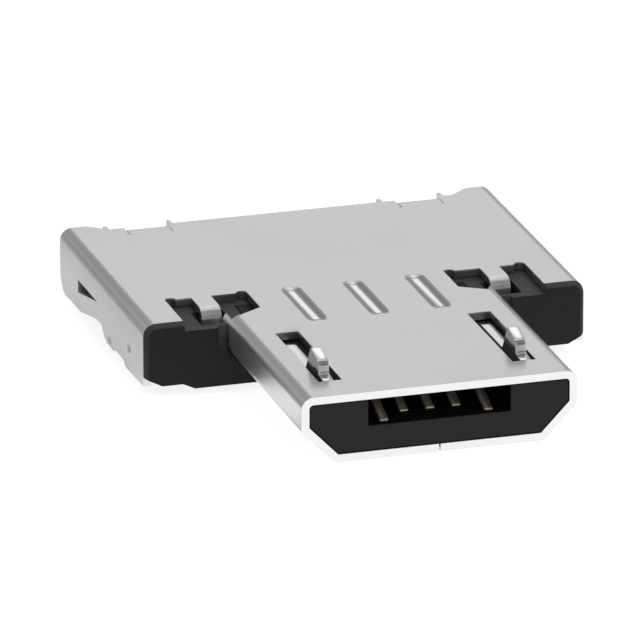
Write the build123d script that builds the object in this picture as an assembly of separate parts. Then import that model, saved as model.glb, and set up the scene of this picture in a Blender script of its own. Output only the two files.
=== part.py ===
from build123d import *
import os

# A slide-in adapter: a Micro-B plug nose in front, and a flat body behind it that goes into
# the hollow of a USB-A plug. Everything is drawn from the tip of the nose (y 0) and the top
# face of the shell (z 0), and each piece is set down on the rest plane as it is written.

# Shell sheet
sheet = 0.20                # strip that the shell is stamped from
bend = 0.30                 # outside radius of its bends
fit = 0.02                  # play between the shell and the mouldings inside it

# Micro-B plug nose
plug_width = 6.85
plug_height = 1.70
plug_length = 6.03          # tip to the neck, where the tube ends
plug_side = 0.845           # height of the upright sides, above the lower chamfers
plug_floor = 5.20           # width of the flat underside
plug_corner = 0.22          # outside radius at the lower bends
seam = 0.04                 # butt joint along the underside
seam_key_start = 2.40       # dovetail key that locks the joint
seam_key_length = 1.10
seam_key_reach = 0.55       # how far the key crosses the joint line
seam_key_flare = 0.15
ear_length = 0.47           # how far the tube's side walls run on beside the neck
ear_depth = 0.62            # lower edge of those ends

# Body
body_width = 11.10
body_front = plug_length    # front edge of the shell beside the nose
rear_edge = 12.92           # rear edge between the corners
rear_corner = 13.30         # rear edge at the two corners
corner_width = 1.13         # width of each corner that reaches further back
corner_ramp = 0.45          # sloping inner end of each corner
overall_length = rear_corner

# Openings in the plate at the neck, with a ground finger between each two
neck_width = 5.00           # plate left between the inner openings
neck_rear = 7.55            # rear edge of the openings
neck_front = 6.42           # front edge of the inner opening, at the neck
opening_outer = 4.55        # outer edge of the outer opening, from the centre line
opening_relief = 0.13       # radius of the relief at the opening's corners
finger_inner = 3.40         # ground finger, from the centre line
finger_width = 0.50
finger_front = 6.62         # front face of the part that is bent down
finger_drop = 1.15

# Beads pressed down into the plate, which lock it to the mouldings below
bead_pitch = 1.56
bead_offset = 0.14          # middle bead, from the centre line
bead_width = 0.51
bead_depth = 0.055
bead_front = 5.10
bead_rear = 7.64
bead_count = 3

# Slots for the latches
latch_slot_offset = 2.41    # middle of each slot, from the centre line
latch_slot_width = 0.57
latch_slot_front = 0.985
latch_slot_rear = 4.53

# Rear tabs, bent down behind the housing
tab_inner = 2.95            # from the centre line
tab_outer = 4.00
tab_outset = 0.05           # how far the tab's face stands behind the rear edge
tab_drop = 1.25
tab_shear = 0.03            # sheared gap beside each tab
nib_width = 0.10            # what is left of the carrier strip
nib_length = 0.24
nib_places = [-4.45, -2.83, 2.57, 4.13]

# Side walls: their lower edge, from front to rear, as distance from the tip and depth
wall_lower_edge = [
    (7.55, 1.61), (7.75, 1.49), (8.40, 1.48), (8.62, 1.56), (9.20, 1.55), (9.45, 1.42),
    (9.65, 1.23), (10.15, 1.26), (10.70, 1.37), (11.50, 1.54), (12.60, 1.55),
]
wall_front_depth = 1.57
wall_rear_depth = 0.95      # where the rounded rear corner begins
corner_bulge = 0.22         # middle of that rounding, as a share of the corner's two sides
window_front = 10.05        # pointed window over the side spring
window_rear = 11.72
window_top = 0.78
window_depth = 1.10
dimple_radius = 0.16        # staking dimples that hold the housing
dimple_depth = 0.05
dimples = [(8.92, 1.33), (7.24, 0.98)]

# Housing
flange_depth = 0.17         # flange in front of the shell's edge
flange_round = 0.165        # rounding of the flange's front face
housing_depth = 1.70        # plate top to underside, between the side steps
housing_side_depth = 1.56   # underside beside the steps
housing_edge_depth = 1.34   # outer lower corners of the flange
step_inner = 4.30           # where the underside steps up, from the centre line
step_outer = 4.60
edge_start = 5.12
nose_play = 0.05            # gap between the flange and the lower part of the nose
nose_slot = 0.275           # wider gap beside the upper part of the nose
nose_slot_depth = 0.76
finger_play = 0.14          # slot beside and under each ground finger
finger_front_play = 0.46    # slot in front of it
housing_rear_play = 0.06    # gap to the rear tabs
lead_in = 0.30              # chamfer along the lower rear edge
cheek_width = 5.80          # pocket for the rear block of the plug insulator

# Plug insulator
face_recess = 0.02
cavity_width = 3.53
cavity_depth = 0.67         # below the shell
cavity_length = 4.90
groove_depth = 0.30         # contact grooves in the cavity floor
groove_play = 0.03
insulator_rear = 7.30

# Plug contacts
contact_pitch = 0.65
contact_width = 0.24
contact_sheet = 0.12
contact_tip = 0.75          # tip of the three inner contacts, from the plug's face
contact_lead = 0.50         # how much further the two outer contacts reach
contact_tip_depth = 0.90
contact_crest_run = 1.25    # tip to crest
contact_crest_depth = 0.45
contact_heel_run = 3.10     # tip to where the contact lies flat
contact_flat_depth = 1.00   # top face of the flat part
contact_end = 7.90
contact_bend = 0.35         # radius at its bends

# Spring contacts for the USB-A plug
spring_sheet = 0.15
spring_width = 0.90
spring_offsets = [3.50, 1.00]   # centre lines, from the middle
spring_foot_front = 7.48    # feet of the outer pair run across the ends of the tails
spring_foot_rear = 7.92
spring_inner_link = 8.05    # the inner pair steps sideways behind them
spring_link_rear = 8.30
spring_bend_start = 8.50
spring_bend = 0.45          # radius at its bends
spring_setback = 0.82       # rear edge of the shell to the spring's tip
spring_tip_run = 1.00       # crest to tip
spring_proud = 0.20         # crest below the housing's underside
spring_tip_depth = 1.45
spring_slot_play = 0.12
foot_margin = 0.10          # foot beyond the tail that lies on it
chamber_front = insulator_rear
chamber_rear = 8.55
chamber_roof = 0.85

# Latches
latch_sheet = 0.25
latch_outset = 0.04         # how far each latch stands outwards from the middle of its slot
latch_slot_play = 0.015
latch_arm_depth = 0.13      # top of the spring arm, below the plate
latch_arm_height = 0.25
latch_arm_rear = 4.10
latch_arm_drop = 0.08       # how much deeper the arm is where it meets the root
latch_root_depth = 0.95
latch_root_front = 4.60
latch_root_rear = 5.95
latch_root_play = 0.08      # root below the underside of the plate
latch_heel = 2.42           # foot of the hook's rear face, from the tip
latch_crest = 2.02          # top of the hook's rear face
latch_crest_height = 0.50
latch_brow = 1.24           # front end of the hook's sloping top
latch_brow_height = 0.33
latch_toe_rear = 1.19       # foot of the hook's front face
latch_toe = 1.00            # end of the low toe in front of the hook
latch_toe_depth = 0.02
latch_round = 0.06          # rounding of the hook's two top corners

# Positions that follow from the sizes above
half_plug = plug_width / 2
half_body = body_width / 2
half_neck = neck_width / 2
finger_outer = finger_inner + finger_width
foot_top = -contact_flat_depth - contact_sheet
rest_drop = housing_depth + spring_proud
spring_end = rear_edge - spring_setback
spring_crest = spring_end - spring_tip_run
ear_rear = plug_length + ear_length
bend_centre = half_plug - bend
latch_offset = latch_slot_offset + latch_outset
FAR = 20.0                  # beyond every piece, for cuts that run right through


def prism_y(face, start, end):
    """A section drawn in x and z, carried along y from start to end."""
    section = Pos(0, start, 0) * (Plane.XZ * face)
    return extrude(section, amount=end - start, dir=(0, 1, 0))


def prism_x(points, left, right):
    """A side view given as (y, z) points, carried along x from left to right."""
    outline = make_face(Polyline([(left, y, z) for y, z in points], close=True))
    return extrude(outline, amount=right - left, dir=(1, 0, 0))


def prism_z(points, low, high):
    """A plan given as (x, y) points, carried along z from low to high."""
    outline = make_face(Polyline([(x, y, low) for x, y in points], close=True))
    return extrude(outline, amount=high - low, dir=(0, 0, 1))


def block(x0, x1, y0, y1, z0, z1):
    """A plain block between two corners."""
    centre = Pos((x0 + x1) / 2, (y0 + y1) / 2, (z0 + z1) / 2)
    return centre * Box(abs(x1 - x0), abs(y1 - y0), abs(z1 - z0))


def both_sides(solid):
    """The solid and its mirror image across the centre line."""
    return solid + mirror(solid, about=Plane.YZ)


def round_corners(face, radius, wanted):
    """Round those corners of a flat section for which wanted(x, z) is true."""
    corners = [v for v in face.vertices() if wanted(v.X, v.Y)]
    return fillet(corners, radius)


def nose_section(inset):
    """The trapezoid of the plug, drawn in by inset from the shell's outside."""
    side = Polyline(
        [
            (-half_plug, 0), (half_plug, 0), (half_plug, -plug_side),
            (plug_floor / 2, -plug_height), (-plug_floor / 2, -plug_height),
            (-half_plug, -plug_side),
        ],
        close=True,
    )
    face = make_face(side)
    face = round_corners(face, bend, lambda x, z: z > -sheet)
    face = round_corners(face, plug_corner, lambda x, z: z < -plug_side / 2)
    return offset(face, amount=-inset, kind=Kind.ARC) if inset else face


def ear_section():
    """The part of the tube's wall that runs on beside the neck: the lower half of the bend
    and the upright side under it."""
    wall = nose_section(0) - nose_section(sheet)
    beyond = half_plug + bend
    wedge = make_face(Polyline([
        (bend_centre, -bend), (beyond, bend), (beyond, -ear_depth),
        (bend_centre, -ear_depth)], close=True))
    return wall & wedge


def bent_tab(width, flat_start, outer_face, drop):
    """A tab that runs flat from flat_start, turns down and ends at depth drop, in plan about x 0."""
    way = 1 if outer_face > flat_start else -1
    inner_face = outer_face - way * sheet
    outline = Polyline(
        [
            (flat_start, 0), (outer_face, 0), (outer_face, -drop),
            (inner_face, -drop), (inner_face, -sheet), (flat_start, -sheet),
        ],
        close=True,
    )
    face = make_face(outline)
    face = round_corners(face, bend, lambda y, z: abs(y - outer_face) < sheet / 2 and z > -sheet / 2)
    inner = lambda y, z: abs(y - inner_face) < sheet / 2 and abs(z + sheet) < sheet / 2
    face = round_corners(face, bend - sheet, inner)
    section = Pos(-width / 2, 0, 0) * (Plane.YZ * face)
    return extrude(section, amount=width, dir=(1, 0, 0))


def seam_path():
    """The joint line under the plug, with its dovetail key, as points in plan."""
    key_end = seam_key_start + seam_key_length
    return [
        (0, -sheet), (0, seam_key_start), (seam_key_reach, seam_key_start - seam_key_flare),
        (seam_key_reach, key_end + seam_key_flare), (0, key_end), (0, plug_length + sheet),
    ]


def bead(level):
    """A pressed bead: a round bar with ball ends that dips bead_depth below a level of z."""
    radius = ((bead_width / 2) ** 2 + bead_depth**2) / (2 * bead_depth)
    middle = level + radius - bead_depth
    front = bead_front + bead_width / 2
    rear = bead_rear - bead_width / 2
    bar = Pos(0, (front + rear) / 2, middle) * (Rot(90, 0, 0) * Cylinder(radius, rear - front))
    return bar + Pos(0, front, middle) * Sphere(radius) + Pos(0, rear, middle) * Sphere(radius)


def bead_row(level, low, high):
    """The part of each bead at this level that lies between two heights."""
    slab = block(-1, 1, 0, rear_edge, low, high)
    places = [bead_offset + (index - (bead_count - 1) / 2) * bead_pitch for index in range(bead_count)]
    return [Pos(x, 0, 0) * (bead(level) & slab) for x in places]


def metal_shell():
    """One stamping: the plate, its side walls, the plug's tube, fingers, tabs and beads."""
    wide = make_face(Polyline([
        (-half_body, -FAR), (half_body, -FAR), (half_body, 0), (-half_body, 0)], close=True))
    wide = round_corners(wide, bend, lambda x, z: z > -sheet)
    hollow = make_face(Polyline([
        (sheet - half_body, -FAR), (half_body - sheet, -FAR),
        (half_body - sheet, -sheet), (sheet - half_body, -sheet)], close=True))
    hollow = round_corners(hollow, bend - sheet, lambda x, z: z > -2 * sheet)
    shell = prism_y(wide - hollow, body_front, rear_corner)

    below = [(body_front - sheet, -wall_front_depth), (body_front, -wall_front_depth)]
    below += [(y, -depth) for y, depth in wall_lower_edge]
    last_y, last_depth = wall_lower_edge[-1]
    middle_y = rear_corner - corner_bulge * (rear_corner - last_y)
    middle_depth = last_depth - corner_bulge * (last_depth - wall_rear_depth)
    curve = ThreePointArc(
        (0, last_y, -last_depth), (0, middle_y, -middle_depth), (0, rear_corner, -wall_rear_depth))
    edge = Polyline([(0, y, z) for y, z in below])
    back = Polyline([
        (0, rear_corner, -wall_rear_depth), (0, rear_corner + sheet, -wall_rear_depth),
        (0, rear_corner + sheet, -2 * FAR), (0, body_front - sheet, -2 * FAR),
        (0, body_front - sheet, -wall_front_depth)])
    trim = make_face(edge + curve + back)
    shell -= extrude(Pos(-half_body - sheet, 0, 0) * trim, amount=body_width + 2 * sheet, dir=(1, 0, 0))

    ring = nose_section(0) - nose_section(sheet)
    shell += prism_y(ring, 0, plug_length)

    half_slot = latch_slot_width / 2
    slot = block(latch_slot_offset - half_slot, latch_slot_offset + half_slot,
                 latch_slot_front, latch_slot_rear, -2 * sheet, sheet)
    opening = prism_z([
        (half_neck, neck_front), (half_neck, neck_rear), (opening_outer, neck_rear),
        (opening_outer, body_front), (bend_centre, body_front)], -bend, sheet)
    relief = Cylinder(opening_relief, 2 * bend)
    outer_relief = Pos(opening_outer - opening_relief, neck_rear, 0) * relief
    inner_relief = Pos(half_neck + opening_relief, neck_rear, 0) * relief
    window = prism_x([
        (window_front, -window_top), (window_rear, -window_top), (window_rear, -window_depth)],
        half_body - 2 * sheet, half_body + sheet)
    shell -= both_sides(slot + opening + outer_relief + inner_relief + window)
    shell += both_sides(prism_y(ear_section(), plug_length - sheet, ear_rear))

    half_rear = half_body - corner_width
    shell -= prism_z([
        (-half_rear, rear_edge), (half_rear, rear_edge), (half_rear + corner_ramp, rear_corner),
        (half_rear + corner_ramp, rear_corner + sheet), (-half_rear - corner_ramp, rear_corner + sheet),
        (-half_rear - corner_ramp, rear_corner)], -2 * sheet, sheet)
    tab_face = rear_edge + tab_outset
    tab_root = tab_face - 2 * bend
    shell -= both_sides(block(tab_inner - tab_shear, tab_outer + tab_shear,
                              tab_root, rear_corner, -2 * sheet, sheet))
    tab = Pos((tab_inner + tab_outer) / 2, 0, 0) * bent_tab(
        tab_outer - tab_inner, tab_root - tab_shear, tab_face, tab_drop)
    for x in nib_places:
        shell += block(x - nib_width / 2, x + nib_width / 2,
                       rear_edge - nib_length, rear_edge + nib_length, -sheet, 0)
    finger = Pos(finger_inner + finger_width / 2, 0, 0) * bent_tab(
        finger_width, neck_rear + sheet, finger_front, finger_drop)
    shell += both_sides(tab + finger)

    for bulge in bead_row(-sheet, -2 * sheet, -sheet / 2):
        shell += bulge
    for groove in bead_row(0, -sheet / 2, sheet):
        shell -= groove

    for y, depth in dimples:
        ball = (dimple_radius**2 + dimple_depth**2) / (2 * dimple_depth)
        shell -= both_sides(Pos(half_body + ball - dimple_depth, y, -depth) * Sphere(ball))

    path = seam_path()
    joint = trace(Polyline([(x, y) for x, y in path]), seam)
    shell -= extrude(Pos(0, 0, -plug_height - sheet) * joint, amount=2 * sheet, dir=(0, 0, 1))
    return shell


def contact_positions():
    """Centre line and tip of each plug contact, in the order of the circuits."""
    places = []
    for index in range(5):
        outer = index in (0, 4)
        tip = contact_tip - (contact_lead if outer else 0)
        places.append(((index - 2) * contact_pitch, tip))
    return places


def plug_contact(x, tip):
    """A sprung strip: a tip dipped into its groove, a crest, and a flat tail to the rear."""
    points = [
        (tip, -contact_tip_depth), (tip + contact_crest_run, -contact_crest_depth),
        (tip + contact_heel_run, -contact_flat_depth - contact_sheet / 2),
        (contact_end, -contact_flat_depth - contact_sheet / 2),
    ]
    line = FilletPolyline(*points, radius=contact_bend)
    strip = trace(line, contact_sheet)
    section = Pos(x - contact_width / 2, 0, 0) * (Plane.YZ * strip)
    return extrude(section, amount=contact_width, dir=(1, 0, 0))


def spring_contact(offset_x, reach, link_front, link_rear):
    """A spring for the USB-A plug: a foot under the tails, a link to one side, and the arm."""
    mid = foot_top - spring_sheet / 2
    crest_z = -housing_depth - spring_proud + spring_sheet / 2
    line = FilletPolyline(
        (link_front, mid), (spring_bend_start, mid), (spring_crest, crest_z),
        (spring_end, -spring_tip_depth), radius=spring_bend)
    strip = trace(line, spring_sheet)
    left = offset_x - spring_width / 2
    right = offset_x + spring_width / 2
    arm = extrude(Pos(left, 0, 0) * (Plane.YZ * strip), amount=spring_width, dir=(1, 0, 0))
    low = foot_top - spring_sheet
    foot = block(reach[0], reach[1], spring_foot_front, link_rear, low, foot_top)
    link = block(min(left, reach[0]), max(right, reach[1]), link_front, link_rear, low, foot_top)
    return arm + foot + link


def spring_latch():
    """A blanked latch that stands in its slot: root, spring arm and hook, seen from the side."""
    low = -latch_toe_depth - latch_arm_depth - latch_arm_height
    arm_low = -latch_arm_depth - latch_arm_height
    root_top = -sheet - latch_root_play
    outline = [
        (latch_toe, low), (latch_toe, -latch_toe_depth), (latch_toe_rear, -latch_toe_depth),
        (latch_brow, latch_brow_height), (latch_crest, latch_crest_height),
        (latch_heel, -latch_arm_depth), (latch_arm_rear, -latch_arm_depth),
        (latch_root_front, root_top), (latch_root_rear, root_top),
        (latch_root_rear, -latch_root_depth), (latch_root_front, -latch_root_depth),
        (latch_arm_rear, arm_low - latch_arm_drop), (latch_heel, arm_low),
    ]
    half = latch_sheet / 2
    latch = prism_x(outline, latch_offset - half, latch_offset + half)
    top = latch.edges().filter_by(Axis.X).filter_by(lambda e: e.center().Z > latch_brow_height / 2)
    return fillet(top, latch_round)


def plug_insulator():
    """Moulding inside the nose: mating cavity, contact grooves, latch slots and rear block."""
    section = nose_section(sheet + fit)
    body = prism_y(section, face_recess, plug_length)
    body += block(-cheek_width / 2 + fit, cheek_width / 2 - fit, plug_length, insulator_rear,
                  -housing_side_depth + fit, -sheet - fit)
    half = cavity_width / 2
    body -= block(-half, half, 0, cavity_length, -sheet - cavity_depth, sheet)

    for x, tip in contact_positions():
        side = contact_width / 2 + groove_play
        body -= block(x - side, x + side, tip - contact_sheet, cavity_length,
                      -sheet - cavity_depth - groove_depth, -sheet)
        tight = contact_width / 2
        body -= block(x - tight, x + tight, cavity_length, insulator_rear,
                      -contact_flat_depth - contact_sheet, -contact_flat_depth)
    for seat in bead_row(-sheet - fit, -2 * sheet, -sheet):
        body -= seat

    side = latch_sheet / 2 + latch_slot_play
    room = block(latch_offset - side, latch_offset + side, latch_slot_front, latch_root_front,
                 -latch_root_depth, sheet)
    seat = block(latch_offset - side, latch_offset + side, latch_root_front, latch_root_rear,
                 -latch_root_depth, sheet)
    return body - both_sides(room + seat)


def housing_section(half_width, top, corner):
    """The body's section: rounded upper corners, stepped underside, bevelled lower corners."""
    right = [
        (half_width, top), (half_width, -housing_edge_depth), (edge_start, -housing_side_depth),
        (step_outer, -housing_side_depth), (step_inner, -housing_depth),
    ]
    left = [(-x, z) for x, z in reversed(right)]
    face = make_face(Polyline(right + left, close=True))
    return round_corners(face, corner, lambda x, z: z > top - sheet)


def base_housing():
    """Moulding inside the body: flange, insulator pocket, wiring chamber and spring slots."""
    rear = rear_edge + tab_outset - sheet - housing_rear_play
    flange_face = body_front - flange_depth
    flange = prism_y(housing_section(half_body, 0, bend), flange_face, body_front)
    front_loop = flange.faces().sort_by(Axis.Y)[0].edges()
    flange = fillet(front_loop.filter_by(lambda e: e.center().Z > -housing_edge_depth), flange_round)

    core = prism_y(housing_section(half_body - sheet - fit, -sheet - fit, bend - sheet + fit),
                   body_front, rear)
    lower_rear = core.edges().filter_by(Axis.X).group_by(Axis.Y)[-1].sort_by(Axis.Z)[0]
    core = chamfer(lower_rear, lead_in)
    housing = flange + core

    gap = half_plug + nose_slot
    housing -= prism_y(nose_section(-nose_play), flange_face - sheet, plug_length + fit)
    housing -= block(-gap, gap, flange_face - sheet, plug_length + fit, -nose_slot_depth, FAR)
    housing -= both_sides(block(gap - fit, opening_outer, flange_face - sheet, body_front,
                                -sheet - fit, FAR))
    housing -= block(-cheek_width / 2, cheek_width / 2, plug_length, insulator_rear,
                     -housing_side_depth, FAR)

    slot = block(finger_inner - finger_play, finger_outer + finger_play,
                 finger_front - finger_front_play, finger_front + sheet + bend,
                 -finger_drop - finger_play, sheet)
    housing -= both_sides(slot)
    housing -= both_sides(block(bend_centre, half_plug + fit, plug_length, ear_rear + 2 * fit,
                                -ear_depth - 2 * fit, sheet))

    far_edge = spring_offsets[0] + spring_width / 2 + spring_slot_play
    housing -= block(-far_edge, far_edge, chamber_front, chamber_rear,
                     foot_top - spring_sheet, -chamber_roof)
    for x in spring_offsets:
        side = spring_width / 2 + spring_slot_play
        housing -= both_sides(block(x - side, x + side, chamber_rear - fit, spring_end + sheet,
                                    -FAR, -chamber_roof))
        housing -= both_sides(block(x - side, x + side, spring_bend_start - sheet, chamber_rear,
                                    -FAR, -chamber_roof))
    for seat in bead_row(-sheet - fit, -2 * sheet, -sheet):
        housing -= seat
    return housing


def write_part(name, shape):
    """Set a piece down on the rest plane, centred lengthways, and write it."""
    placed = Pos(0, -overall_length / 2, rest_drop) * shape
    placed.label = name
    export_step(placed, os.path.join("parts", name + ".step"))


os.makedirs("parts", exist_ok=True)
write_part("metal_shell", metal_shell())
write_part("plug_insulator", plug_insulator())
write_part("base_housing", base_housing())

circuits = ["vbus", "data_minus", "data_plus", "id", "ground"]
for circuit, (x, tip) in zip(circuits, contact_positions()):
    write_part("plug_contact_" + circuit, plug_contact(x, tip))

half_tail = contact_width / 2 + foot_margin
outer_link = (spring_foot_front, spring_foot_rear)
inner_link = (spring_inner_link, spring_link_rear)
feet = [
    ("vbus", -spring_offsets[0], 0, 0, outer_link),
    ("data_minus", -spring_offsets[1], 1, 1, inner_link),
    ("data_plus", spring_offsets[1], 2, 2, inner_link),
    ("ground", spring_offsets[0], 3, 4, outer_link),
]
for circuit, place, first, last, link in feet:
    reach = ((first - 2) * contact_pitch - half_tail, (last - 2) * contact_pitch + half_tail)
    write_part("usb_a_spring_" + circuit, spring_contact(place, reach, *link))

latch = spring_latch()
write_part("latch_right", latch)
write_part("latch_left", mirror(latch, about=Plane.YZ))
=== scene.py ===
import bpy
import math
import numpy as np
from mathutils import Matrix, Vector


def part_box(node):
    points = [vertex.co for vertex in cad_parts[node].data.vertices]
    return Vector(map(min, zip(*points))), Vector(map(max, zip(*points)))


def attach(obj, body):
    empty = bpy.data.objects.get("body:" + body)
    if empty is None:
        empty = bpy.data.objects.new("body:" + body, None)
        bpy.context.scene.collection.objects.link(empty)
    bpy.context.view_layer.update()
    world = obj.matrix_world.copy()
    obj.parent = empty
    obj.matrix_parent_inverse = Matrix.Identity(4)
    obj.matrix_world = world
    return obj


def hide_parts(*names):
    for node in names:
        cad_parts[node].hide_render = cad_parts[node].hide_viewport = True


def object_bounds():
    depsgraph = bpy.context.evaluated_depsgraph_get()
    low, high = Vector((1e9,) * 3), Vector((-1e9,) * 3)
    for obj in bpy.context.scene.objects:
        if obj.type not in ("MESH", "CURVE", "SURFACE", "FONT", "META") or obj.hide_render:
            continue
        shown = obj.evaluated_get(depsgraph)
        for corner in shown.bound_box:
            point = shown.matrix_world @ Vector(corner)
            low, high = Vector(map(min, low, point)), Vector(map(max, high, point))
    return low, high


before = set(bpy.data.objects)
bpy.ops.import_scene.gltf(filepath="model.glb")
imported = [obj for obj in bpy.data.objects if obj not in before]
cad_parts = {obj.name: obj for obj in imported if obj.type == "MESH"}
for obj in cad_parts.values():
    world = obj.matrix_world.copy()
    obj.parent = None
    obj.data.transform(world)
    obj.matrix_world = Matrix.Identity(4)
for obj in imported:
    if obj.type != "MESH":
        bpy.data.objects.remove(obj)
cad_low, cad_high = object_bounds()
MM = 0.001

# The plug insulator: a black liquid-crystal-polymer moulding pushed into the nose from behind.
# Its satin skin has a fine flow texture. The cavity for the contacts is painted darker than the
# face: painted shade for its depth.


def shader(name):
    """A new material, its nodes, its links and its Principled BSDF."""
    material = bpy.data.materials.new(name)
    material.use_nodes = True
    nodes = material.node_tree.nodes
    return material, nodes, material.node_tree.links, nodes["Principled BSDF"]


def socket_group(name, inputs, outputs):
    """An empty node group with the named sockets, and the nodes at its two ends."""
    group = bpy.data.node_groups.new(name, "ShaderNodeTree")
    for label, kind, value in inputs:
        item = group.interface.new_socket(label, in_out="INPUT", socket_type=kind)
        if value is not None:
            item.default_value = value
    for label, kind in outputs:
        group.interface.new_socket(label, in_out="OUTPUT", socket_type=kind)
    start = group.nodes.new("NodeGroupInput")
    end = group.nodes.new("NodeGroupOutput")
    return group, start, end


def moulded_skin():
    """The skin of a moulding. Its colour is the given one times (dimmest + variation * cloud),
    its roughness the given one plus a share of a fine grain, and its height that grain plus a
    share of the coarser cloud."""
    cloud_scale = 700.0
    dimmest = 0.9
    grain_roughness = 0.12
    cloud_height = 0.6
    group, start, end = socket_group(
        "moulded_skin",
        [("Colour", "NodeSocketColor", None), ("Variation", "NodeSocketFloat", 0.2),
         ("Roughness", "NodeSocketFloat", 0.5), ("Grain", "NodeSocketFloat", 9000.0)],
        [("Colour", "NodeSocketColor"), ("Roughness", "NodeSocketFloat"),
         ("Height", "NodeSocketFloat")])
    nodes, links = group.nodes, group.links
    place = nodes.new("ShaderNodeTexCoord")
    grain = nodes.new("ShaderNodeTexNoise")
    grain.inputs["Detail"].default_value = 4.0
    links.new(place.outputs["Object"], grain.inputs["Vector"])
    links.new(start.outputs["Grain"], grain.inputs["Scale"])
    cloud = nodes.new("ShaderNodeTexNoise")
    cloud.inputs["Scale"].default_value = cloud_scale
    links.new(place.outputs["Object"], cloud.inputs["Vector"])
    swing = nodes.new("ShaderNodeMath")
    swing.operation = "MULTIPLY_ADD"
    links.new(cloud.outputs["Fac"], swing.inputs[0])
    links.new(start.outputs["Variation"], swing.inputs[1])
    swing.inputs[2].default_value = dimmest
    tint = nodes.new("ShaderNodeVectorMath")
    tint.operation = "SCALE"
    links.new(start.outputs["Colour"], tint.inputs[0])
    links.new(swing.outputs[0], tint.inputs["Scale"])
    rough = nodes.new("ShaderNodeMath")
    rough.operation = "MULTIPLY_ADD"
    links.new(grain.outputs["Fac"], rough.inputs[0])
    rough.inputs[1].default_value = grain_roughness
    links.new(start.outputs["Roughness"], rough.inputs[2])
    ripple = nodes.new("ShaderNodeMath")
    ripple.operation = "MULTIPLY_ADD"
    links.new(cloud.outputs["Fac"], ripple.inputs[0])
    ripple.inputs[1].default_value = cloud_height
    links.new(grain.outputs["Fac"], ripple.inputs[2])
    links.new(tint.outputs[0], end.inputs["Colour"])
    links.new(rough.outputs[0], end.inputs["Roughness"])
    links.new(ripple.outputs[0], end.inputs["Height"])
    return group


MOULDED_SKIN = moulded_skin()


def black_moulding(name, front, behind, face, roughness, gloss, bump):
    """Black connector plastic: the moulded skin under a low, broad gloss. By a smooth step of
    y its colour goes from front, at the moulding's face, to behind, where the blend ends.
    This step is painted light and shade, not a change in the plastic."""
    blend_start = 0.002 * MM
    blend_end = 0.03 * MM
    variation = 0.2
    grain_height = 0.004 * MM
    material, nodes, links, bsdf = shader(name)
    place = nodes.new("ShaderNodeTexCoord")
    parts = nodes.new("ShaderNodeSeparateXYZ")
    links.new(place.outputs["Object"], parts.inputs["Vector"])
    inwards = nodes.new("ShaderNodeMapRange")
    inwards.interpolation_type = "SMOOTHSTEP"
    inwards.inputs["From Min"].default_value = face + blend_start
    inwards.inputs["From Max"].default_value = face + blend_end
    links.new(parts.outputs["Y"], inwards.inputs["Value"])
    tone = nodes.new("ShaderNodeMix")
    tone.data_type = "RGBA"
    tone.inputs["A"].default_value = (*front, 1.0)
    tone.inputs["B"].default_value = (*behind, 1.0)
    links.new(inwards.outputs["Result"], tone.inputs["Factor"])
    skin = nodes.new("ShaderNodeGroup")
    skin.node_tree = MOULDED_SKIN
    links.new(tone.outputs["Result"], skin.inputs["Colour"])
    skin.inputs["Variation"].default_value = variation
    skin.inputs["Roughness"].default_value = roughness
    links.new(skin.outputs["Colour"], bsdf.inputs["Base Color"])
    links.new(skin.outputs["Roughness"], bsdf.inputs["Roughness"])
    relief = nodes.new("ShaderNodeBump")
    relief.inputs["Strength"].default_value = bump
    relief.inputs["Distance"].default_value = grain_height
    links.new(skin.outputs["Height"], relief.inputs["Height"])
    links.new(relief.outputs["Normal"], bsdf.inputs["Normal"])
    bsdf.inputs["Specular IOR Level"].default_value = gloss
    return material


def even_normals(piece):
    """Weight a piece's normals by face area, so that flats stay flat beside small radii."""
    normals = piece.modifiers.new("normals", "WEIGHTED_NORMAL")
    normals.mode = "FACE_AREA"
    normals.weight = 90
    normals.keep_sharp = False


def dress(node, material, edge, steps=2, crease=None):
    """Give a node its finish. Its loose triangles are welded, its flats joined and its sharp
    edges broken by a radius of edge, in steps. Where crease is given, folds steeper than it,
    in degrees, keep separate normals on their two sides."""
    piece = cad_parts[node]
    piece.data.materials.clear()
    piece.data.materials.append(material)
    piece.data.polygons.foreach_set("use_smooth", np.ones(len(piece.data.polygons), bool))
    weld = piece.modifiers.new("weld", "WELD")
    weld.merge_threshold = 0.0005 * MM
    flat = piece.modifiers.new("join_flats", "DECIMATE")
    flat.decimate_type = "DISSOLVE"
    flat.angle_limit = math.radians(0.5)
    bevel = piece.modifiers.new("edge", "BEVEL")
    bevel.width = edge
    bevel.segments = steps
    bevel.limit_method = "ANGLE"
    bevel.angle_limit = math.radians(35)
    bevel.miter_outer = "MITER_ARC"
    bevel.use_clamp_overlap = True
    if crease:
        split = piece.modifiers.new("crease", "EDGE_SPLIT")
        split.use_edge_sharp = False
        split.split_angle = math.radians(crease)
    even_normals(piece)


# Behind its face the insulator is painted a darker black: painted shade in the contact cavity.
insulator_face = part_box("plug_insulator")[0][1]
INSULATOR_BLACK = black_moulding(
    "insulator_black", front=(0.011, 0.011, 0.0112), behind=(0.0015, 0.0015, 0.0015),
    face=insulator_face, roughness=0.42, gloss=0.25, bump=0.25)
dress("plug_insulator", INSULATOR_BLACK, edge=0.015 * MM)

# The five plug contacts: phosphor-bronze strip, 0.12 mm thick, stamped and bent, under a thin
# plate of gold. The grain of the drawn strip shows through the plate.


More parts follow.
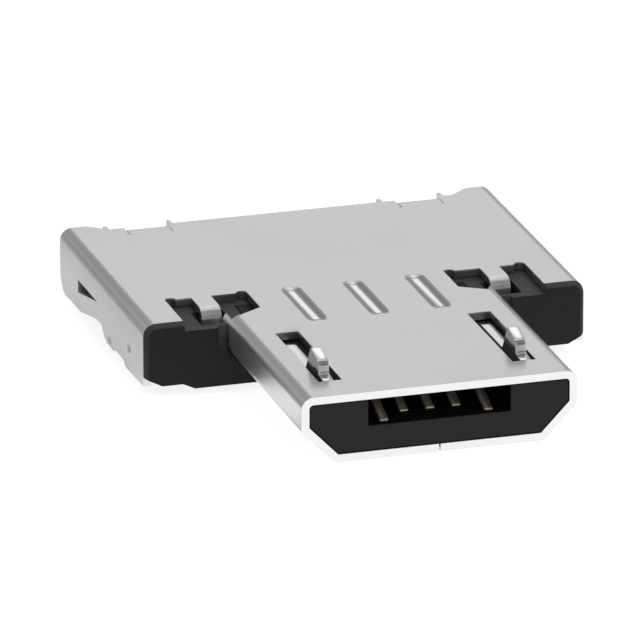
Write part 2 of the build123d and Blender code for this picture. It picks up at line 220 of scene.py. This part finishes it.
def gold_strip(name, colour, roughness):
    """Gold-plated strip: a fine grain drawn out along y mixes the colour with one that is
    paler by a factor, and adds up to grain_roughness to the roughness."""
    grain_scale = (16000.0, 1600.0, 16000.0)
    paler = 1.18
    grain_roughness = 0.14
    material, nodes, links, bsdf = shader(name)
    place = nodes.new("ShaderNodeTexCoord")
    stretch = nodes.new("ShaderNodeMapping")
    stretch.inputs["Scale"].default_value = grain_scale
    grain = nodes.new("ShaderNodeTexNoise")
    grain.inputs["Scale"].default_value = 1.0
    grain.inputs["Detail"].default_value = 3.0
    links.new(place.outputs["Object"], stretch.inputs["Vector"])
    links.new(stretch.outputs["Vector"], grain.inputs["Vector"])
    tone = nodes.new("ShaderNodeMix")
    tone.data_type = "RGBA"
    tone.inputs["A"].default_value = (*colour, 1.0)
    tone.inputs["B"].default_value = (*[min(1.0, c * paler) for c in colour], 1.0)
    links.new(grain.outputs["Fac"], tone.inputs["Factor"])
    links.new(tone.outputs["Result"], bsdf.inputs["Base Color"])
    spread = nodes.new("ShaderNodeMath")
    spread.operation = "MULTIPLY_ADD"
    links.new(grain.outputs["Fac"], spread.inputs[0])
    spread.inputs[1].default_value = grain_roughness
    spread.inputs[2].default_value = roughness
    links.new(spread.outputs[0], bsdf.inputs["Roughness"])
    bsdf.inputs["Metallic"].default_value = 1.0
    return material


CONTACT_GOLD = gold_strip("contact_gold", (0.74, 0.66, 0.53), roughness=0.30)
for circuit in ("vbus", "data_minus", "data_plus", "id", "ground"):
    dress("plug_contact_" + circuit, CONTACT_GOLD, edge=0.05 * MM, steps=3)

# The two latches: blanked from hard stainless strip, plated, and stood on edge in their slots.
# The press leaves soft corners round their outline and a narrow rounded edge on both sides.


def plated_metal(name, colour, roughness, streak, bump, burnish_and_shade=None):
    """Bright plated sheet. The sum of a rolling grain drawn out along y and a wandering cloud
    varies the colour by streak and the roughness by a little. If given, the mask maker makes two
    masks from (nodes, links): where the first is 1 the metal is polished, and the second is the
    share of its colour taken off as painted shade."""
    grain_scale = (14000.0, 500.0, 14000.0)
    cloud_scale = 420.0
    roughness_swing = 0.05
    polished_roughness = 0.08
    grain_height = 0.002 * MM
    material, nodes, links, bsdf = shader(name)
    place = nodes.new("ShaderNodeTexCoord")
    stretch = nodes.new("ShaderNodeMapping")
    stretch.inputs["Scale"].default_value = grain_scale
    grain = nodes.new("ShaderNodeTexNoise")
    grain.inputs["Scale"].default_value = 1.0
    grain.inputs["Detail"].default_value = 5.0
    links.new(place.outputs["Object"], stretch.inputs["Vector"])
    links.new(stretch.outputs["Vector"], grain.inputs["Vector"])
    cloud = nodes.new("ShaderNodeTexNoise")
    cloud.inputs["Scale"].default_value = cloud_scale
    cloud.inputs["Detail"].default_value = 2.0
    links.new(place.outputs["Object"], cloud.inputs["Vector"])
    both = nodes.new("ShaderNodeMath")
    both.operation = "ADD"
    links.new(grain.outputs["Fac"], both.inputs[0])
    links.new(cloud.outputs["Fac"], both.inputs[1])
    swing = nodes.new("ShaderNodeMath")
    swing.operation = "MULTIPLY_ADD"
    links.new(both.outputs[0], swing.inputs[0])
    swing.inputs[1].default_value = streak
    swing.inputs[2].default_value = 1.0 - streak
    tint = nodes.new("ShaderNodeVectorMath")
    tint.operation = "SCALE"
    tint.inputs[0].default_value = colour
    links.new(swing.outputs[0], tint.inputs["Scale"])
    links.new(tint.outputs[0], bsdf.inputs["Base Color"])
    spread = nodes.new("ShaderNodeMath")
    spread.operation = "MULTIPLY_ADD"
    links.new(both.outputs[0], spread.inputs[0])
    spread.inputs[1].default_value = roughness_swing
    spread.inputs[2].default_value = roughness - roughness_swing
    links.new(spread.outputs[0], bsdf.inputs["Roughness"])
    if burnish_and_shade:
        polished, painted_shade = burnish_and_shade(nodes, links)
        polish = nodes.new("ShaderNodeMix")
        polish.data_type = "FLOAT"
        polish.inputs["B"].default_value = polished_roughness
        links.new(polished, polish.inputs["Factor"])
        links.new(spread.outputs[0], polish.inputs["A"])
        links.new(polish.outputs["Result"], bsdf.inputs["Roughness"])
        # Take the second mask's share off the colour: painted shade.
        kept = nodes.new("ShaderNodeMath")
        kept.operation = "SUBTRACT"
        kept.inputs[0].default_value = 1.0
        links.new(painted_shade, kept.inputs[1])
        shade = nodes.new("ShaderNodeVectorMath")
        shade.operation = "SCALE"
        links.new(tint.outputs[0], shade.inputs[0])
        links.new(kept.outputs[0], shade.inputs["Scale"])
        links.new(shade.outputs[0], bsdf.inputs["Base Color"])
    relief = nodes.new("ShaderNodeBump")
    relief.inputs["Strength"].default_value = bump
    relief.inputs["Distance"].default_value = grain_height
    links.new(grain.outputs["Fac"], relief.inputs["Height"])
    links.new(relief.outputs["Normal"], bsdf.inputs["Normal"])
    bsdf.inputs["Metallic"].default_value = 0.94
    return material


# Corners of the latch's side view, in millimetres: distance from the nose's tip, height above
# the plate, and how far before and after the corner its rounding begins.
latch_corners = np.array([
    (1.00, -0.40, 0.02), (1.00, 0.00, 0.03), (1.37, 0.05, 0.05), (1.42, 0.34, 0.12),
    (2.02, 0.50, 0.05), (2.42, -0.16, 0.06), (4.10, -0.16, 0.05), (4.60, -0.28, 0.04),
    (5.95, -0.28, 0.03), (5.95, -0.95, 0.03), (4.60, -0.95, 0.05), (4.10, -0.46, 0.05),
    (2.42, -0.44, 0.05),
])
latch_corner_points = 9
latch_middle = 2.452 * MM
latch_half = 0.134 * MM
latch_edge = 0.012 * MM
latch_edge_rings = 4
plate_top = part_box("metal_shell")[1][2]


def latch_outline():
    """The side view as points in y and z. Each corner is a parabola: (1 - t)^2 A + 2 t (1 - t) P
    + t^2 B, from A before the corner P to B after it."""
    corner = latch_corners[:, None, :2]
    reach = latch_corners[:, None, 2:]
    before = np.roll(corner, 1, axis=0) - corner
    after = np.roll(corner, -1, axis=0) - corner
    start = corner + reach * before / np.linalg.norm(before, axis=2, keepdims=True)
    end = corner + reach * after / np.linalg.norm(after, axis=2, keepdims=True)
    t = np.linspace(0, 1, latch_corner_points)[None, :, None]
    points = (1 - t) ** 2 * start + 2 * t * (1 - t) * corner + t**2 * end
    return points.reshape(-1, 2)


def latch_mesh(name, middle):
    """The outline carried across x in rings. At each side the ring is drawn in along its own
    normals by edge (1 - cos a) while x goes on by edge sin a, which rounds the blanked edge."""
    outline = latch_outline()
    along = np.roll(outline, -1, axis=0) - np.roll(outline, 1, axis=0)
    inwards = np.stack([along[:, 1], -along[:, 0]], axis=1)
    inwards /= np.linalg.norm(inwards, axis=1, keepdims=True)
    turn = np.linspace(0, math.pi / 2, latch_edge_rings)
    out = latch_half - latch_edge + latch_edge * np.sin(turn)
    drawn = latch_edge * (1 - np.cos(turn))
    across = np.concatenate([-out[::-1], out])
    inset = np.concatenate([drawn[::-1], drawn])
    rings, count = len(across), len(outline)
    flat = outline[None] * MM + inset[:, None, None] * inwards[None]
    place = np.empty((rings, count, 3))
    place[:, :, 0] = middle + across[:, None]
    place[:, :, 1] = flat[:, :, 0] + cad_low[1]
    place[:, :, 2] = flat[:, :, 1] + plate_top
    ring, step = np.meshgrid(np.arange(rings - 1), np.arange(count), indexing="ij")
    nearer = ring * count + step
    further = ring * count + (step + 1) % count
    quads = np.stack([nearer, nearer + count, further + count, further], axis=2).reshape(-1, 4)
    ends = [list(range(count)), list(range(rings * count - 1, (rings - 1) * count - 1, -1))]
    mesh = bpy.data.meshes.new(name)
    mesh.from_pydata(place.reshape(-1, 3), [], quads.tolist() + ends)
    mesh.polygons.foreach_set("use_smooth", np.ones(len(mesh.polygons), bool))
    return mesh


LATCH_METAL = plated_metal(
    "latch_metal", (0.78, 0.78, 0.78), roughness=0.13, streak=0.03, bump=0.08)
for side, sign in (("left", -1), ("right", 1)):
    name = "spring_latch_" + side
    latch = bpy.data.objects.new(name, latch_mesh(name, sign * latch_middle))
    bpy.context.scene.collection.objects.link(latch)
    latch.data.materials.append(LATCH_METAL)
    even_normals(latch)
    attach(latch, "root")
    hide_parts("latch_" + side)

# The base housing: the black moulding that fills the body, with a rounded flange in front of
# the shell's edge and open slots underneath for the springs. Behind the flange's face, where
# the openings in the shell show it, its black is painted lighter: painted light and shade, for
# the face taking less light than the tops behind it.
housing_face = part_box("base_housing")[0][1]
HOUSING_BLACK = black_moulding(
    "housing_black", front=(0.010, 0.010, 0.0102), behind=(0.042, 0.042, 0.0425),
    face=housing_face, roughness=0.45, gloss=0.28, bump=0.3)
dress("base_housing", HOUSING_BLACK, edge=0.015 * MM)

# The four springs that meet a USB-A plug's contacts: phosphor-bronze strip, bent to a crest
# and plated with gold, each on a foot under the tails of the plug contacts.
SPRING_GOLD = gold_strip("spring_gold", (0.80, 0.60, 0.33), roughness=0.24)
for circuit in ("vbus", "data_minus", "data_plus", "ground"):
    dress("usb_a_spring_" + circuit, SPRING_GOLD, edge=0.015 * MM)

# The shell: one blanked and folded strip of nickel-plated steel, 0.2 mm thick. Its rolling
# grain runs from nose to rear. The punch has burnished the floors of the three beads to a lower
# roughness. Their flanks are painted darker, and the cut walls of the slots and openings darker
# still: painted shade.
bead_count = 3
bead_pitch = 1.56 * MM
bead_offset = 0.14 * MM
bead_half_floor = 0.075 * MM
bead_flank = 0.15 * MM
bead_flank_half = 0.03 * MM
bead_span = (-1.55 * MM, 0.82 * MM)
bead_depth = 0.1 * MM
bead_soft = 0.03 * MM
# Share of colour taken off the beads' flanks, as painted shade.
flank_shade_strength = 0.36
# The block of the plate in which the slots and openings are cut: for x, y and z, the middle of
# its range and half of the range. Its limits are soft, and a cut wall leans by little.
cut_x = (0.0, 4.6 * MM)
cut_y = (-2.5 * MM, 3.6 * MM)
cut_z = (plate_top - 0.12 * MM, 0.07 * MM)
cut_soft = 0.1 * MM
cut_lean = 0.2
# Share of colour taken off the cut walls, as painted shade.
cut_wall_shade_strength = 0.576


def burnish_and_shade_masks(nodes, links):
    """Two masks: the burnished floors of the beads, and the share of colour taken off as painted
    shade on the beads' flanks and the cut walls. Across, floors and flanks go by the distance to
    the nearest bead's middle, and along, by that to the middle of its length. A cut wall is where
    the surface stands upright inside the block of the cuts."""
    place = nodes.new("ShaderNodeTexCoord")
    parts = nodes.new("ShaderNodeSeparateXYZ")
    links.new(place.outputs["Object"], parts.inputs["Vector"])
    x, y, z = (parts.outputs[axis] for axis in "XYZ")

    def distance(source, middle):
        """How far source is from the middle, either way."""
        away = nodes.new("ShaderNodeMath")
        away.operation = "SUBTRACT"
        away.inputs[1].default_value = middle
        links.new(source, away.inputs[0])
        size = nodes.new("ShaderNodeMath")
        size.operation = "ABSOLUTE"
        links.new(away.outputs[0], size.inputs[0])
        return size.outputs[0]

    def window(source, middle, half, soft):
        """1 where source is within half of the middle, falling to 0 over soft."""
        fade = nodes.new("ShaderNodeMapRange")
        fade.interpolation_type = "SMOOTHSTEP"
        fade.inputs["From Min"].default_value = half + soft
        fade.inputs["From Max"].default_value = half
        links.new(distance(source, middle), fade.inputs["Value"])
        return fade.outputs["Result"]

    def both(first, second):
        """The product of two masks."""
        product = nodes.new("ShaderNodeMath")
        product.operation = "MULTIPLY"
        links.new(first, product.inputs[0])
        links.new(second, product.inputs[1])
        return product.outputs[0]

    nearest = nodes.new("ShaderNodeMath")
    nearest.operation = "WRAP"
    nearest.inputs[1].default_value = bead_offset + bead_pitch / 2
    nearest.inputs[2].default_value = bead_offset - bead_pitch / 2
    links.new(x, nearest.inputs[0])
    across = nearest.outputs[0]
    floor_lines = window(across, bead_offset, bead_half_floor, bead_soft)
    flank_lines = window(
        distance(across, bead_offset), bead_flank, bead_flank_half, 2 * bead_soft)
    front, rear = bead_span
    row = window(x, bead_offset, bead_pitch * bead_count / 2, bead_soft)
    along = window(y, (front + rear) / 2, (rear - front) / 2, bead_soft)
    pressed = both(row, both(along, window(z, plate_top, bead_depth, bead_soft)))

    surface = nodes.new("ShaderNodeNewGeometry")
    facing = nodes.new("ShaderNodeSeparateXYZ")
    links.new(surface.outputs["Normal"], facing.inputs["Vector"])
    upright = window(facing.outputs["Z"], 0.0, cut_lean, cut_lean)
    inside = both(window(x, *cut_x, cut_soft), window(y, *cut_y, cut_soft))
    cut = both(both(upright, window(z, *cut_z, bead_soft)), inside)

    # Painted shade: the flanks and the cut walls lose these shares of their colour.
    flank_shade = nodes.new("ShaderNodeMath")
    flank_shade.operation = "MULTIPLY"
    flank_shade.inputs[1].default_value = flank_shade_strength
    links.new(both(flank_lines, pressed), flank_shade.inputs[0])
    painted_shade = nodes.new("ShaderNodeMath")
    painted_shade.operation = "MULTIPLY_ADD"
    painted_shade.inputs[1].default_value = cut_wall_shade_strength
    links.new(cut, painted_shade.inputs[0])
    links.new(flank_shade.outputs[0], painted_shade.inputs[2])
    return both(floor_lines, pressed), painted_shade.outputs[0]


SHELL_METAL = plated_metal(
    "shell_metal", (0.88, 0.88, 0.88), roughness=0.30, streak=0.02, bump=0.06,
    burnish_and_shade=burnish_and_shade_masks)
dress("metal_shell", SHELL_METAL, edge=0.015 * MM, steps=5, crease=19)

# The floor: a pale sheet far wider than the part. The camera sees it as white, and it keeps
# the part's soft shadow. For reflections alone it glows in a ramp of greys: a painted reflection.
floor_half = 3.0
floor_grey = 0.40
floor_camera_glow = 0.86
# Painted reflection: greys that the floor glows with for reflections only, with their places
# along y in millimetres, inside the span that the ramp covers. They fade to nothing at the left,
# between two places along x.
floor_span = (-8.0, 2.0)
floor_painted_reflection = ((-6.8, 0.75), (-4.5, 0.24), (-2.2, 0.60), (-1.0, 0.60), (2.0, 0.34))
floor_left_fade = (-7.8 * MM, -6.8 * MM)

floor_mesh = bpy.data.meshes.new("floor")
floor_mesh.from_pydata(
    [(-floor_half, -floor_half, 0), (floor_half, -floor_half, 0),
     (floor_half, floor_half, 0), (-floor_half, floor_half, 0)], [], [(0, 1, 2, 3)])
floor = bpy.data.objects.new("floor", floor_mesh)
bpy.context.scene.collection.objects.link(floor)


def floor_material():
    """A grey diffuse sheet that glows: by one level where the camera sees it, which makes it
    white with the real shadow kept, and for a reflection by the ramp of greys along y times
    the fade along x, a painted reflection."""
    material = bpy.data.materials.new("floor_white")
    material.use_nodes = True
    nodes, links = material.node_tree.nodes, material.node_tree.links
    nodes.clear()
    out = nodes.new("ShaderNodeOutputMaterial")
    paper = nodes.new("ShaderNodeBsdfDiffuse")
    paper.inputs["Color"].default_value = (floor_grey, floor_grey, floor_grey, 1.0)
    lift = nodes.new("ShaderNodeEmission")
    path = nodes.new("ShaderNodeLightPath")
    place = nodes.new("ShaderNodeTexCoord")
    parts = nodes.new("ShaderNodeSeparateXYZ")
    links.new(place.outputs["Object"], parts.inputs["Vector"])
    first, last = floor_span
    depth = nodes.new("ShaderNodeMapRange")
    depth.inputs["From Min"].default_value = first * MM
    depth.inputs["From Max"].default_value = last * MM
    links.new(parts.outputs["Y"], depth.inputs["Value"])
    ramp = nodes.new("ShaderNodeValToRGB")
    ramp.color_ramp.interpolation = "EASE"
    stops = ramp.color_ramp.elements
    stops.remove(stops[1])
    for y, grey in floor_painted_reflection:
        stops.new((y - first) / (last - first)).color = (grey, grey, grey, 1.0)
    stops.remove(stops[0])
    links.new(depth.outputs["Result"], ramp.inputs["Fac"])
    left = nodes.new("ShaderNodeMapRange")
    left.interpolation_type = "SMOOTHSTEP"
    left.inputs["From Min"].default_value, left.inputs["From Max"].default_value = floor_left_fade
    links.new(parts.outputs["X"], left.inputs["Value"])
    level = nodes.new("ShaderNodeMath")
    level.operation = "MULTIPLY"
    links.new(ramp.outputs["Color"], level.inputs[0])
    links.new(left.outputs["Result"], level.inputs[1])
    seen = nodes.new("ShaderNodeMath")
    seen.operation = "MULTIPLY"
    seen.inputs[1].default_value = floor_camera_glow
    links.new(path.outputs["Is Camera Ray"], seen.inputs[0])
    glow = nodes.new("ShaderNodeMath")
    glow.operation = "MULTIPLY_ADD"
    links.new(path.outputs["Is Glossy Ray"], glow.inputs[0])
    links.new(level.outputs[0], glow.inputs[1])
    links.new(seen.outputs[0], glow.inputs[2])
    links.new(glow.outputs[0], lift.inputs["Strength"])
    add = nodes.new("ShaderNodeAddShader")
    links.new(paper.outputs[0], add.inputs[0])
    links.new(lift.outputs[0], add.inputs[1])
    links.new(add.outputs[0], out.inputs["Surface"])
    return material


floor.data.materials.append(floor_material())

# The studio: a pale tent with soft panels behind the part and unlit gaps between them, which
# the metal mirrors, and one soft lamp. Bearings and heights are seen from the part, in degrees.
tent_level = 0.45
tent_diffuse = 0.55
# Bearing from straight behind towards the right, height above the floor, radius of the full
# patch, width of its soft rim, and brightness. A later patch lies over the ones before it.
tent_patches = (
    (0, 90, 18, 22, 0.88),
    (-8, 26, 12, 6, 0.30),
    (-26, -2, 8, 8, 0.25),
    (26, 3, 6, 5, 0.34),
    (17, 20, 4, 3, 1.16),
    (22, 45, 6, 4, 1.60),
    (145, 60, 12, 14, 0.18),
    (161, 23, 11, 6, 0.13),
)


def bearing(azimuth, elevation):
    """The unit vector (sin a cos e, cos a cos e, sin e) of an azimuth a, from straight behind
    towards the right, and an elevation e."""
    a, e = math.radians(azimuth), math.radians(elevation)
    return Vector((math.sin(a) * math.cos(e), math.cos(a) * math.cos(e), math.sin(e)))


def surround():
    """World light: white to the camera and plain grey to diffuse rays. A glossy ray sees the
    tent level, mixed with each patch in turn by a smooth step of its angle from the patch."""
    world = bpy.data.worlds.new("studio")
    world.use_nodes = True
    nodes, links = world.node_tree.nodes, world.node_tree.links
    nodes.clear()
    out = nodes.new("ShaderNodeOutputWorld")
    place = nodes.new("ShaderNodeTexCoord")
    level = None
    for azimuth, elevation, radius, rim, brightness in tent_patches:
        towards = nodes.new("ShaderNodeVectorMath")
        towards.operation = "DOT_PRODUCT"
        towards.inputs[1].default_value = bearing(azimuth, elevation)
        links.new(place.outputs["Generated"], towards.inputs[0])
        inside = nodes.new("ShaderNodeMapRange")
        inside.interpolation_type = "SMOOTHSTEP"
        inside.inputs["From Min"].default_value = math.cos(math.radians(radius + rim))
        inside.inputs["From Max"].default_value = math.cos(math.radians(radius))
        links.new(towards.outputs["Value"], inside.inputs["Value"])
        mixed = nodes.new("ShaderNodeMix")
        mixed.data_type = "FLOAT"
        mixed.inputs["A"].default_value = tent_level
        mixed.inputs["B"].default_value = brightness
        links.new(inside.outputs["Result"], mixed.inputs["Factor"])
        if level is not None:
            links.new(level, mixed.inputs["A"])
        level = mixed.outputs["Result"]
    path = nodes.new("ShaderNodeLightPath")
    glossy = nodes.new("ShaderNodeMix")
    glossy.data_type = "FLOAT"
    glossy.inputs["A"].default_value = tent_diffuse
    links.new(path.outputs["Is Glossy Ray"], glossy.inputs["Factor"])
    links.new(level, glossy.inputs["B"])
    seen = nodes.new("ShaderNodeMix")
    seen.data_type = "FLOAT"
    seen.inputs["B"].default_value = 1.0
    links.new(path.outputs["Is Camera Ray"], seen.inputs["Factor"])
    links.new(glossy.outputs["Result"], seen.inputs["A"])
    light = nodes.new("ShaderNodeBackground")
    links.new(seen.outputs["Result"], light.inputs["Strength"])
    links.new(light.outputs[0], out.inputs["Surface"])
    return world


bpy.context.scene.world = surround()


def stand(carrier, aim, towards, distance):
    """Put a lamp or camera at a distance from the aim along towards, looking back at it."""
    carrier.location = aim + towards * distance
    carrier.rotation_mode = "QUATERNION"
    carrier.rotation_quaternion = (-towards).to_track_quat("-Z", "Y")
    bpy.context.scene.collection.objects.link(carrier)


key_light = bpy.data.lights.new("key_lamp", "AREA")
key_light.size = 0.30
key_light.energy = 1.0
key_bearing = bearing(160, 55)
key_distance = 0.40
part_centre = (Vector(cad_low) + Vector(cad_high)) / 2
key_lamp = bpy.data.objects.new("key_lamp", key_light)
key_lamp.visible_glossy = False
stand(key_lamp, part_centre, key_bearing, key_distance)

# The camera: a long lens from the front left, a little above the part, as in the photograph.
# The aim is the point at the middle of the picture.
camera_bearing = bearing(197.08, 19.76)
camera_aim = Vector((-2.562 * MM, -5.328 * MM, 3.325 * MM))
camera_distance = 284.45 * MM
picture_pixels = 640
focal_pixels = 12042.4
sensor = 36.0
camera_data = bpy.data.cameras.new("camera")
camera_data.sensor_width = sensor
camera_data.lens = sensor * focal_pixels / picture_pixels
camera_data.clip_start = 0.02
camera_data.clip_end = 20.0
camera = bpy.data.objects.new("camera", camera_data)
stand(camera, camera_aim, camera_bearing, camera_distance)
bpy.context.scene.camera = camera
bpy.context.scene.view_settings.view_transform = "Standard"
